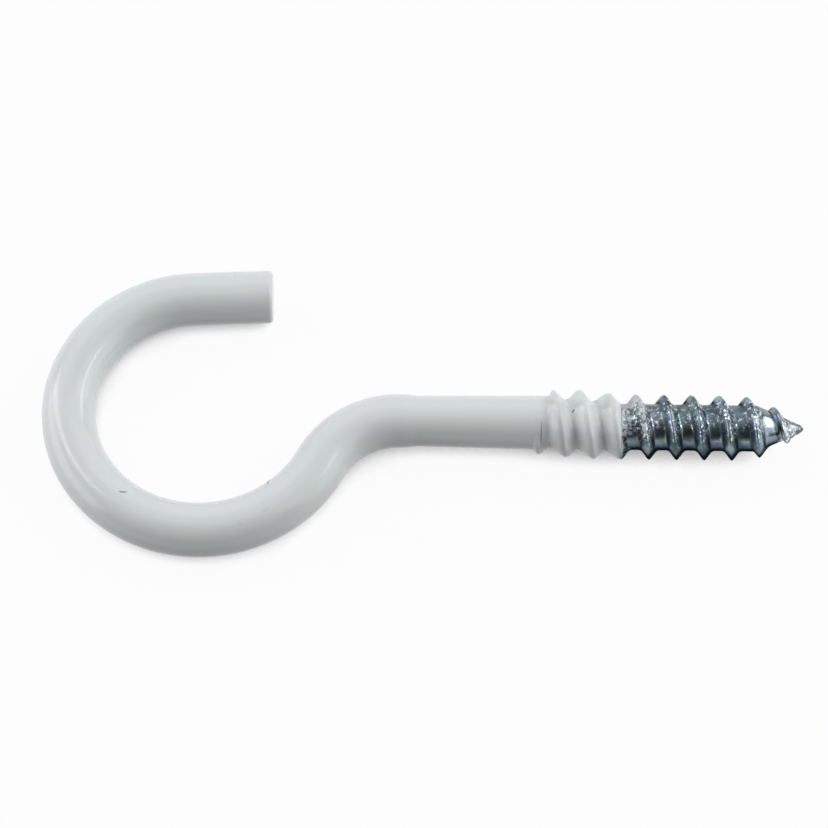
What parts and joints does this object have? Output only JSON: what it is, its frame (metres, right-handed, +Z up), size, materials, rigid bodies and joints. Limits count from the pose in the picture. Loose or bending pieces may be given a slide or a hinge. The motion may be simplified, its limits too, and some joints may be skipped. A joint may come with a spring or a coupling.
{
  "type": "screw hook",
  "caption": "Open round screw hook of steel wire with an offset neck, a plain shank, a coarse wood thread and a gimlet point, white film over the hook and bare zinc at the point.",
  "frame": {"origin": "on the screw's axis, where the plain shank ends and the rolled thread starts", "axes": "+X along the screw's axis towards the point; the bow lies in the XY plane with its mouth towards +Y and +X; +Z is up from the surface that the hook lies on"},
  "size_m": [0.07, 0.0292, 0.0062],
  "materials": {
    "white_film": "gloss",
    "zinc_plating": "polished"
  },
  "bodies": {
    "root": {"screw_hook": "white_film"}
  },
  "joints": []
}
